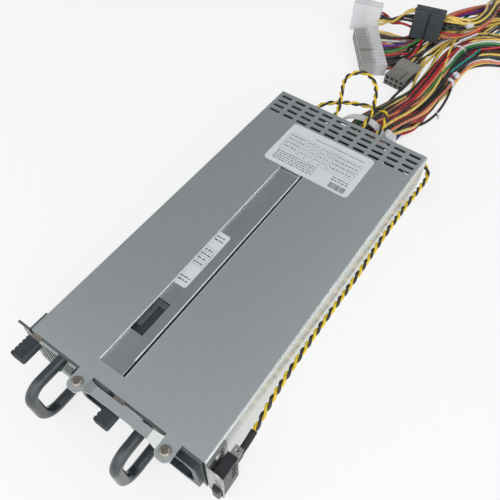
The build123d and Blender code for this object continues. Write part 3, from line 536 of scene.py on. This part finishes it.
def bundle(name, route, colours, reach, seed, limit, step=0.0035, **more):
    """Wires along a route. Where a wire leaves the limit near an end, a second mesh carries it on."""
    points, length = route_line(name, route, step)
    frames = carried_frames(points)
    tracks = wire_tracks(points, len(colours), reach, WIRE * 1.02, seed, **more)
    names = list(dict.fromkeys(colours))
    inner, outer = ([], [], []), ([], [], [])
    n = len(points)
    for colour, track in zip(colours, tracks):
        away = [math.hypot(x, y) > limit for x, y in track]
        low, high = 0, n
        while low < n - 1 and away[low]:
            low += 1
        while high > 1 and away[high - 1]:
            high -= 1
        for there, lists, first, last in ((high - low > 1, inner, low, high), (low > 0, outer, 0, low + 2),
                                          (high < n, outer, high - 2, n)):
            if there:
                add_tube(*lists, in_space(points, frames, track, first, last), WIRE / 2, names.index(colour))
    mats = [wires[c] for c in names]
    piece = mesh_piece(name, inner[0], inner[1], mats, inner[2])
    extra = []
    if outer[0]:
        spare = mesh_piece(name + "_spread", outer[0], outer[1], mats, outer[2])
        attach(spare, "cage")
        extra.append(spare)
    return piece, points, length, extra


def twisted(name, route, pitch):
    """A yellow and a black wire turned round each other, one turn per pitch."""
    points, length = route_line(name, route, 0.0009)
    frames = carried_frames(points)
    verts, faces, picks = [], [], []
    for k in (0, 1):
        run = []
        s = 0.0
        for i, p in enumerate(points):
            if i:
                s += (points[i] - points[i - 1]).length
            w = 2 * math.pi * (s / pitch + 0.06 * math.sin(s * 190.0)) + k * math.pi
            run.append(p + (frames[i][1] * math.cos(w) + frames[i][2] * math.sin(w)) * PAIR_RADIUS)
        add_tube(verts, faces, picks, run, PAIR_RADIUS * 0.99, k, 8)
    return mesh_piece(name, verts, faces, pair_mats, picks), points, length


# Reach of each bundle at the share f of its length: narrower at the strap, where f is 0, and at its tie
def main_reach(f):
    tie = abs(f - 0.34) / 0.05
    return 0.0058 + 0.0027 * ease(min(1.0, f / 0.08, max(0.45, tie)))


def aux_reach(f):
    return 0.0036 + 0.0022 * ease(f / 0.08)


def drive_reach(f):
    tie = abs(f - 0.285) / 0.05
    return 0.0026 + 0.0021 * ease(min(1.0, f / 0.08, max(0.1, tie)))


def tail_reach(f):
    return 0.0036


def ways(columns, rows, pitch):
    """Places of a plug's ways about its middle."""
    return [((c - (columns - 1) / 2) * pitch, (r - (rows - 1) / 2) * pitch)
            for r in range(rows) for c in range(columns)]


main_colours = ["red", "black", "red", "black", "orange", "yellow", "black", "red", "black", "red", "black",
                "orange", "black", "black", "black", "red", "green", "black", "violet", "orange", "white", "black",
                "brown", "yellow"]
main_ends = ways(12, 2, 0.0042)
aux_colours = ["black", "yellow", "black", "yellow", "yellow", "black", "yellow", "black"]
aux_ends = ways(4, 2, 0.0042)
drive_colours = ["yellow", "black", "red", "black", "orange", "yellow", "black", "yellow"]
drive_ends = [(-0.0011, 0.0094), (0.0, -0.0010), (0.0, -0.0048), (0.0, 0.0028), (0.0, -0.0086),
              (0.0011, 0.0090), (0.0012, 0.0050), (-0.0012, 0.0066)]
tail_colours = ["yellow", "black", "black", "red", "yellow", "black"]
tail_starts = [(0.0012, 0.0094), (0.0, 0.0045), (0.0, -0.0005), (0.0, -0.0055), (-0.0012, 0.0090),
               (0.0, 0.0020)]
tail_ends = [(-0.0066, 0.0022), (-0.0022, 0.0020), (0.0022, 0.0020), (0.0066, 0.0022), (-0.0045, -0.0022),
             (0.0045, -0.0022)]

main_piece, main_points, main_length, main_spread = bundle(
    "main_wires", main_route, main_colours, main_reach, 11, 0.0086, wander=1.15, tails=main_ends, run=0.046)
aux_piece, aux_points, aux_length, aux_spread = bundle(
    "aux_wires", aux_route, aux_colours, aux_reach, 5, 0.0061, wander=1.0, tails=aux_ends, run=0.03)
drive_piece, drive_points, drive_length, drive_spread = bundle(
    "drive_wires", drive_route, drive_colours, drive_reach, 23, 0.0051, wander=0.9, tails=drive_ends, run=0.05)
tail_piece, tail_points, tail_length, tail_spread = bundle(
    "drive_tail_wires", drive_tail_route, tail_colours, tail_reach, 9, 0.0044, step=0.002, wander=0.3,
    heads=tail_starts, tails=tail_ends, run=0.015)
side_piece, side_points, side_length = twisted("side_pair_wires", side_route, 0.0098)
low_piece, low_points, low_length = twisted("signal_low_wires", signal_low_route, 0.0125)
high_piece, high_points, high_length = twisted("signal_high_wires", signal_high_route, 0.0125)


def tube_piece(name, points, radius, mat, sides=16):
    verts, faces, picks = [], [], []
    add_tube(verts, faces, picks, points, radius, 0, sides)
    piece = mesh_piece(name, verts, faces, [mat])
    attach(piece, "cage")
    return piece


# Heat-shrink sleeve where the pair meets the switch's blades
side_sleeve = tube_piece("side_pair_sleeve", side_points[0:14], 0.0018, sleeve)


def box_piece(name, place, size, turn, mat, tilt=0.0):
    """A small block with bevelled edges, turned on plan and then tilted."""
    piece = bpy.data.objects.new(name, bpy.data.meshes.new(name))
    half = [v * MM / 2 for v in size]
    c = min(half) * 0.3
    turned = Matrix.Rotation(math.radians(turn), 3, "Z") @ Matrix.Rotation(math.radians(tilt), 3, "Y")
    verts = []
    for sx in (-1, 1):
        for sy in (-1, 1):
            for sz in (-1, 1):
                for skip in range(3):
                    v = [sx * (half[0] - (c if skip != 0 else 0)), sy * (half[1] - (c if skip != 1 else 0)),
                         sz * (half[2] - (c if skip != 2 else 0))]
                    verts.append(turned @ Vector(v) + Vector([q * MM for q in place]))
    bm = bmesh.new()
    for v in verts:
        bm.verts.new(v)
    bmesh.ops.convex_hull(bm, input=bm.verts)
    bm.to_mesh(piece.data)
    bm.free()
    piece.data.materials.append(mat)
    scene.collection.objects.link(piece)
    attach(piece, "cage")
    return piece


tie_head = box_piece("drive_tie_head", (26.5, 352.5, 9.4), (5.0, 4.2, 3.2), -30, nylon)
tie_tail = box_piece("drive_tie_tail", (32.3, 308.9, 1.7), (0.9, 7.0, 2.0), 38, nylon)
main_head = box_piece("main_tie_head", (14.7, 389.9, 29.5), (5.6, 5.0, 3.6), 60, nylon)
main_tail = box_piece("main_tie_tail", (19.5, 380.0, 25.0), (0.9, 20.0, 2.6), -24, nylon, 20.0)

def band(name, centre, half_x, half_z, wide, thick, tilt, mat):
    """An oval band around the bundle, leaning back by the tilt. Sizes are millimetres."""
    verts, faces = [], []
    count = 56
    bevel = 0.3
    lean = math.radians(tilt)
    across = Vector((0, math.cos(lean), -math.sin(lean)))
    section = ((-thick / 2, -wide / 2), (thick / 2, -wide / 2 + bevel), (thick / 2, wide / 2 - bevel),
               (-thick / 2, wide / 2))
    for k in range(count):
        w = 2 * math.pi * k / count
        for r, o in section:
            high = (half_z + r) * math.sin(w)
            out = Vector(((half_x + r) * math.cos(w), high * math.sin(lean), high * math.cos(lean)))
            verts.append((Vector(centre) + out + across * o) * MM)
    for k in range(count):
        q = (k + 1) % count
        for j in range(4):
            i = (j + 1) % 4
            faces.append((4 * k + j, 4 * k + i, 4 * q + i, 4 * q + j))
    piece = mesh_piece(name, verts, faces, [mat], None, False)
    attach(piece, "cage")
    return piece


main_ring = band("main_tie_ring", (16.0, 381.8, 7.5), 7.1, 7.0, 3.0, 1.0, 0.0, nylon)
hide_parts("harness_ties")
drive_ring = band("drive_tie_ring", (24.6, 344.0, 5.2), 4.6, 4.7, 3.0, 1.0, 0.0, nylon)
# The strap that holds the harness above its tongue, with its square head and short tail
strap_band = band("strap_band", (3.2, 231.0, 21.4), 18.0, 14.2, 6.6, 1.3, 15.0, nylon)
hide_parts("harness_strap")
box_piece("strap_head", (21.6, 233.8, 29.6), (8.2, 7.2, 6.0), 8, nylon, 30.0)
box_piece("strap_tail", (26.0, 235.0, 25.0), (1.3, 4.6, 5.6), 0, nylon, -20.0)

# Single wires that stand clear of the main bundle between the strap and the tie, mm
loose_routes = [
    ("black", ((17.5, 233, 13), (17.2, 252, 10), (18.5, 270, 7.5), (22.8, 282.7, 4), (28.1, 293.5, 2),
               (31.2, 310.8, 1.3), (30.3, 332, 1.3), (27.5, 346.9, 3), (25.3, 356, 8), (21.5, 373, 11))),
    ("black", ((16.5, 234, 18), (16.0, 252, 15.5), (16.5, 269, 12), (20.3, 282, 8), (24.6, 296.3, 4),
               (26.4, 311.8, 2), (25.0, 329.8, 2), (22.9, 344.9, 4), (21.8, 353, 9), (19.0, 373, 11))),
    ("red", ((16.5, 232, 10), (16.5, 250, 8), (17.5, 264, 6), (21.5, 274, 3.4), (24.9, 284, 1.8),
             (25.6, 299.4, 1.3), (23.1, 317.5, 1.3), (21.8, 330, 3), (21.0, 345, 8), (18.0, 366, 11))),
    ("red", ((15.5, 232, 14), (15.8, 250, 13), (17.0, 262, 11), (20.0, 276, 9), (23.0, 292, 7), (22.6, 310, 6),
             (20.6, 330, 8), (17.6, 352, 11))),
    ("orange", ((6.0, 238, 29), (9.2, 253.4, 26), (13.4, 273, 20), (17.8, 297.4, 14.5), (20.0, 319.5, 12.5),
                (19.2, 346.2, 12.5), (18.5, 372, 12))),
    ("yellow", ((14.0, 234, 31), (15.0, 252, 27), (19.5, 280, 19), (21.1, 312.9, 13.5), (19.3, 335.4, 13.5),
                (14.2, 358.2, 14.5), (8.7, 382.4, 14.5), (8.7, 403.6, 14), (13.4, 423.8, 13), (21.0, 442.9, 10),
                (30.0, 456, 6), (44.0, 472, 4.4))),
]
# Four more between the second and the third of them
for share, colour in ((0.3, "red"), (0.55, "black"), (0.75, "red"), (0.9, "black")):
    loose_routes.append((colour, [
        (a[0] + (b[0] - a[0]) * share - 0.6, a[1] + (b[1] - a[1]) * share, a[2] + (b[2] - a[2]) * share + 1.2)
        for a, b in zip(loose_routes[1][1], loose_routes[2][1])]))
# Wires that leave the bundle past the tie and run on above the fold
over_colours = ("red", "orange", "black", "yellow", "white", "black", "red", "teal", "black")
over_lifts = (0.0, 2.2, 0.6, 2.8, 1.2, 3.0, 0.2, 2.4, 0.8)
for k, (colour, dz) in enumerate(zip(over_colours, over_lifts)):
    dx = (k - 4) * 2.1
    loose_routes.append((colour, (
        (14.0 + dx * 0.3, 322, 8.0 + dz), (17.5 + dx * 0.45, 344, 9.0 + dz), (20.5 + dx * 0.6, 366, 9.0 + dz),
        (22.0 + dx, 388, 8.0 + dz), (23.5 + dx * 1.15, 412, 6.0 + dz), (26.5 + dx, 440, 4.6 + dz),
        (36.0 + dx * 0.6, 465, 4.0 + dz), (52.0 + dx * 0.3, 483, 3.0 + dz))))
# Fan of wires between the strap and the bundle, in two layers: each runs between the two guide lines
upper_guide = ((-5.5, 213, 25), (-6.3, 236, 26.5), (-4.4, 250, 24.5), (-1.4, 268, 20), (1.2, 288, 14.5),
               (4.2, 307, 10), (8.5, 332, 8.0), (13.0, 356, 8.5))
lower_guide = ((15.0, 213, 28), (15.6, 236, 28.5), (15.4, 252, 25.5), (14.8, 268, 21.5), (15.6, 287, 17.0),
               (17.0, 306, 13.0), (18.5, 330, 11.5), (19.0, 356, 11.0))
top_colours = ("brown", "green", "black", "black", "yellow", "black", "black", "orange", "black", "black", "red",
               "black", "red", "black")
for shift, drop, fan_colours in ((0.0, 0.0, top_colours), (0.5, 2.6, ("black", "brown", "black", "red") * 3)):
    for k, colour in enumerate(fan_colours):
        f = (k + shift) / (len(top_colours) - 1)
        loose_routes.append((colour, [
            (a[0] + (b[0] - a[0]) * f, a[1] + 1.5 * math.sin(2.3 * k + i), a[2] + (b[2] - a[2]) * f
             - drop * (1 - 0.08 * i) + 0.5 * math.sin(1.7 * k + 2.1 * i))
            for i, (a, b) in enumerate(zip(upper_guide, lower_guide))]))
verts, faces, picks = [], [], []
loose_colours = list(wires)
lowest = 0.0012
for index, (colour, route) in enumerate(loose_routes):
    line = [Vector((q.x, q.y, max(q.z, lowest))) for q in route_line("loose_wire_%d" % index, route)[0]]
    add_tube(verts, faces, picks, line, WIRE / 2, loose_colours.index(colour), 8)
loose_wires = mesh_piece("loose_wires", verts, faces, [wires[c] for c in loose_colours], picks)
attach(loose_wires, "cage")

cords = [
    (main_piece, "main_cable", main_points, main_length, 0.0120, "connector",
     [nodes["main_plug"], main_ring, main_head, main_tail] + main_spread + [loose_wires]),
    (aux_piece, "aux_cable", aux_points, aux_length, 0.0080, "connector", [nodes["aux_plug"]] + aux_spread),
    (drive_piece, "drive_cable", drive_points, drive_length, 0.0066, "connector",
     [nodes["flat_plug"], drive_ring, tie_head, tie_tail] + drive_spread),
    (tail_piece, "drive_cable_tail", tail_points, tail_length, 0.0056, "connector",
     [nodes["drive_plug"]] + tail_spread),
    (side_piece, "side_pair", side_points, side_length, 0.0032, "object", [side_sleeve]),
    (low_piece, "signal_pair_low", low_points, low_length, 0.0032, "object", []),
    (high_piece, "signal_pair_high", high_points, high_length, 0.0032, "object", []),
]
for piece, node, points, length, diameter, far_end, riders in cords:
    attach(piece, "cage")
    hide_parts(node)


# ---------------------------------------------------------------- labels
def rounded(name, x0, y0, x1, y1, z, r, mat, body):
    """A label plate with round corners."""
    ring = []
    for cx, cy, a in ((x1 - r, y1 - r, 0), (x0 + r, y1 - r, 90), (x0 + r, y0 + r, 180), (x1 - r, y0 + r, 270)):
        for k in range(7):
            w = math.radians(a + 90 * k / 6)
            ring.append((cx + r * math.cos(w), cy + r * math.sin(w)))
    n = len(ring)
    verts = [Vector((x * MM, y * MM, z * MM)) for x, y in ring]
    verts += [Vector((x * MM, y * MM, z * MM + LABEL_THICK * MM)) for x, y in ring]
    faces = [tuple(reversed(range(n))), tuple(range(n, 2 * n))]
    faces += [(i, (i + 1) % n, n + (i + 1) % n, n + i) for i in range(n)]
    piece = mesh_piece(name, verts, faces, [mat], None, False)
    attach(piece, body)
    return piece


def marks(name, boxes, z, mat, body):
    """Flat printed marks in one mesh, a face for each box."""
    verts, faces = [], []
    for x0, y0, x1, y1 in boxes:
        b = len(verts)
        verts += [Vector((x * MM, y * MM, z * MM)) for x, y in ((x0, y0), (x1, y0), (x1, y1), (x0, y1))]
        faces.append((b, b + 1, b + 2, b + 3))
    piece = mesh_piece(name, verts, faces, [mat], None, False)
    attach(piece, body)
    return piece


rounded("cover_label", -28.7, 160.2, 28.7, 196.5, COVER_TOP, 2.6, label_white, "cage")
rounded("module_label", -17.2, 61.0, -8.4, 100.5, LID_TOP, 1.6, label_white, "left_module")


def rule(x0, y0, x1, y1, wide=0.16):
    """A thin straight line as a box, level or upright on the label."""
    if abs(x1 - x0) > abs(y1 - y0):
        return (x0, y0 - wide / 2, x1, y0 + wide / 2)
    return (x0 - wide / 2, y0, x0 + wide / 2, y1)


rng = random.Random(4)
label_z = COVER_TOP + LABEL_THICK + MARK_LIFT
table = []
for y in (188.0, 184.6, 181.2, 177.8, 174.4, 172.6):
    table.append(rule(-25.5, y, 24.6, y))
for x in (-25.5, -13.0, -8.2, -3.0, 2.2, 7.4, 24.6):
    table.append(rule(x, 172.6, x, 188.0))
marks("cover_label_lines", table, label_z, pale_ink, "cage")
dashes = []


def dash_row(x0, x1, y, tall, low=0.7, high=2.2, gap=0.45):
    """Adds a row of dashes of random length, which stand for a line of print."""
    x = x0
    while x < x1:
        w = min(rng.uniform(low, high), x1 - x)
        if w > 0.3:
            dashes.append((x, y, x + w, y + tall))
        x += w + gap * rng.uniform(0.8, 1.6)


dash_row(-10.0, 24.0, 191.0, 0.9, 0.6, 0.9, 0.5)
for y in (186.0, 182.6, 179.2, 175.8):
    dash_row(-24.6, -14.0, y, 0.75)
    for x in (-12.2, -7.4, -2.2, 3.0):
        dash_row(x, x + 3.6, y, 0.7, 0.5, 1.2)
    dash_row(8.2, 23.6, y, 0.75)
for y in (170.3, 168.6, 166.9, 165.2, 163.5):
    dash_row(-24.6, 3.0, y, 0.7)
for y in (170.0, 168.0):
    dash_row(14.0, 25.0, y, 0.8)
marks("cover_label_dashes", dashes, label_z, pale_ink, "cage")
bars = []
x = 15.0
while x < 25.6:
    w = rng.choice((0.2, 0.35, 0.5))
    bars.append((x, 161.9, x + w, 166.2))
    x += w + rng.choice((0.25, 0.4))
marks("cover_label_bars", bars, label_z, ink, "cage")
small_z = LID_TOP + LABEL_THICK + MARK_LIFT
small = [rule(-16.3, y, -9.4, y) for y in (88.6, 85.4, 82.2, 79.0, 75.8)]
small += [rule(x, 75.8, x, 88.6) for x in (-16.3, -9.4)]
marks("module_label_lines", small, small_z, pale_ink, "left_module")
dashes = []
for y in (97.0, 94.6, 86.6, 83.4, 80.2, 77.0, 66.2, 64.0):
    dash_row(-15.6, -10.0, y, 0.7)
marks("module_label_dashes", dashes, small_z, ink, "left_module")


def plate(name, x0, y0, x1, y1, z0, z1, mat, body):
    """A plain block between two corners."""
    corners = [(x, y, z) for z in (z0, z1) for x, y in ((x0, y0), (x1, y0), (x1, y1), (x0, y1))]
    verts = [Vector([c * MM for c in q]) for q in corners]
    faces = [(3, 2, 1, 0), (4, 5, 6, 7), (0, 1, 5, 4), (1, 2, 6, 5), (2, 3, 7, 6), (3, 0, 4, 7)]
    piece = mesh_piece(name, verts, faces, [mat], None, False)
    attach(piece, body)
    return piece


def line_bead(name, a, b, radius, mat, body):
    """A thin straight round bead from a to b."""
    steps = 24
    points = [Vector([(a[i] + (b[i] - a[i]) * k / steps) * MM for i in range(3)]) for k in range(steps + 1)]
    verts, faces, picks = [], [], []
    add_tube(verts, faces, picks, points, radius * MM, 0, 8)
    piece = mesh_piece(name, verts, faces, [mat])
    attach(piece, body)
    return piece


# Painted highlights: pale beads along the window's edges and the cover's bend, and a pale plate over the dark gap
# under the window's left edge. A lid-coloured wall hides the dark gap at the window's rear end
line_bead("window_edge_left", (-15.65, 8.2, 41.85), (-15.65, 160.0, 41.85), 0.24, painted_edge_highlight, "cage")
plate("window_lip_left", -16.0, 8.0, -15.72, 172.0, 40.25, 41.9, painted_bend_highlight, "cage")
plate("window_lip_rear", -15.7, 160.5, 0.3, 161.0, 40.45, 41.95, module_zinc, "cage")
line_bead("cover_bend", (52.52, 0.3, 41.52), (52.52, 218.2, 41.52), 0.36, painted_bend_highlight, "cage")
line_bead("window_edge_right", (0.30, 8.2, 41.8), (0.30, 160.0, 41.8), 0.12, painted_edge_highlight, "cage")
# Painted highlight along each lid's right edge
for side, edge in MODULE_EDGES:
    ride = side + "_module"
    x = edge + 48.75
    line_bead(side + "_lid_edge", (x, 17.0, 39.95), (x, 171.6, 39.95), 0.42, painted_edge_highlight, ride)


# Shallow moulded pocket in each lid
for side, edge in MODULE_EDGES:
    ride = side + "_module"
    plate(side + "_pocket_floor", edge + 34.5, 28.6, edge + 42.9, 49.6, 38.0, 38.15, pocket_dark, ride)
    plate(side + "_pocket_pad", edge + 34.7, 32.6, edge + 38.2, 49.4, 38.16, 39.0, pocket_mid, ride)
    plate(side + "_pocket_rib", edge + 38.2, 46.2, edge + 42.7, 49.4, 38.16, 38.8, pocket_mid, ride)


def blot(name, y, z, half_y, half_z, x, mat, seed):
    """A raised patch with a wavy rim on the right wall."""
    count = 28
    verts = [Vector(((x + 0.5) * MM, y * MM, z * MM))]
    for far, up in ((0.55, 0.42), (0.9, 0.2), (1.0, 0.0)):
        for k in range(count):
            w = 2 * math.pi * k / count
            bend = 1.0 + 0.16 * noise.noise(Vector((math.cos(w) * 1.3, math.sin(w) * 1.3, seed)))
            verts.append(Vector(((x + up) * MM, (y + half_y * far * bend * math.cos(w)) * MM,
                                 (z + half_z * far * bend * math.sin(w)) * MM)))
    faces = [(0, 1 + k, 1 + (k + 1) % count) for k in range(count)]
    for ring in range(2):
        for k in range(count):
            a = 1 + ring * count
            q = (k + 1) % count
            faces.append((a + k, a + count + k, a + count + q, a + q))
    piece = mesh_piece(name, verts, faces, [mat])
    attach(piece, "cage")
    return piece


blot("wall_glue", 195.0, 19.0, 9.0, 4.4, 53.0, glue, 3.1)

# ---------------------------------------------------------------- floor, light
# Camera, glossy and transmission rays see this share of plain white on the floor and the wall
WHITE_SHARE = 0.72
bpy.ops.mesh.primitive_plane_add(size=40.0, location=(0, 0.2, -0.00002))
floor = bpy.context.object
floor.name = "floor"
floor_mat, n, l = new_material("floor")
matt = n["Principled BSDF"]
matt.inputs["Base Color"].default_value = (0.86, 0.86, 0.86, 1)
matt.inputs["Roughness"].default_value = 0.9
rays = n.new("ShaderNodeLightPath")
seen = rays.outputs["Is Camera Ray"]
for kind in ("Is Glossy Ray", "Is Transmission Ray"):
    either = n.new("ShaderNodeMath")
    either.operation = "MAXIMUM"
    l.new(seen, either.inputs[0])
    l.new(rays.outputs[kind], either.inputs[1])
    seen = either.outputs[0]
share = n.new("ShaderNodeMath")
share.operation = "MULTIPLY"
share.inputs[1].default_value = WHITE_SHARE
l.new(seen, share.inputs[0])
white = n.new("ShaderNodeEmission")
white.inputs["Strength"].default_value = 1.0
mx = n.new("ShaderNodeMixShader")
l.new(share.outputs[0], mx.inputs["Fac"])
l.new(matt.outputs[0], mx.inputs[1])
l.new(white.outputs[0], mx.inputs[2])
l.new(mx.outputs[0], n["Material Output"].inputs["Surface"])
floor.data.materials.append(floor_mat)

# Pale wall far round the floor, so that low views end in the floor's tone. Light and gloss pass through it
bpy.ops.mesh.primitive_cylinder_add(vertices=96, radius=12.0, depth=6.0, end_fill_type="NOTHING",
                                    location=(0, 0.2, 3.0))
backdrop = bpy.context.object
backdrop.name = "backdrop"
backdrop.visible_diffuse = False
backdrop.visible_shadow = False
backdrop.visible_glossy = False
backdrop.data.materials.append(floor_mat)

world = bpy.data.worlds.new("world")
scene.world = world
world.use_nodes = True
bg = world.node_tree.nodes["Background"]
bg.inputs["Color"].default_value = (0.93, 0.96, 1.0, 1)
bg.inputs["Strength"].default_value = 0.325


def lamp(name, place, target, size, power, colour):
    data = bpy.data.lights.new(name, "AREA")
    data.shape = "RECTANGLE"
    data.size, data.size_y = size
    data.energy = power
    data.color = colour
    o = bpy.data.objects.new(name, data)
    scene.collection.objects.link(o)
    o.location = place
    o.visible_camera = False
    way = Vector(target) - Vector(place)
    o.rotation_euler = way.to_track_quat("-Z", "Y").to_euler()


lamp("key", (0.80, -0.55, 0.85), (0, 0.12, 0), (2.0, 2.0), 18.5, (1.0, 0.99, 0.97))
lamp("fill", (-0.55, -0.75, 0.75), (0, 0.12, 0), (1.5, 1.5), 7.0, (0.96, 0.98, 1.0))
lamp("rear", (0.42, 0.75, 0.95), (0, 0.05, 0), (0.30, 0.30), 1.6, (1.0, 1.0, 1.0))
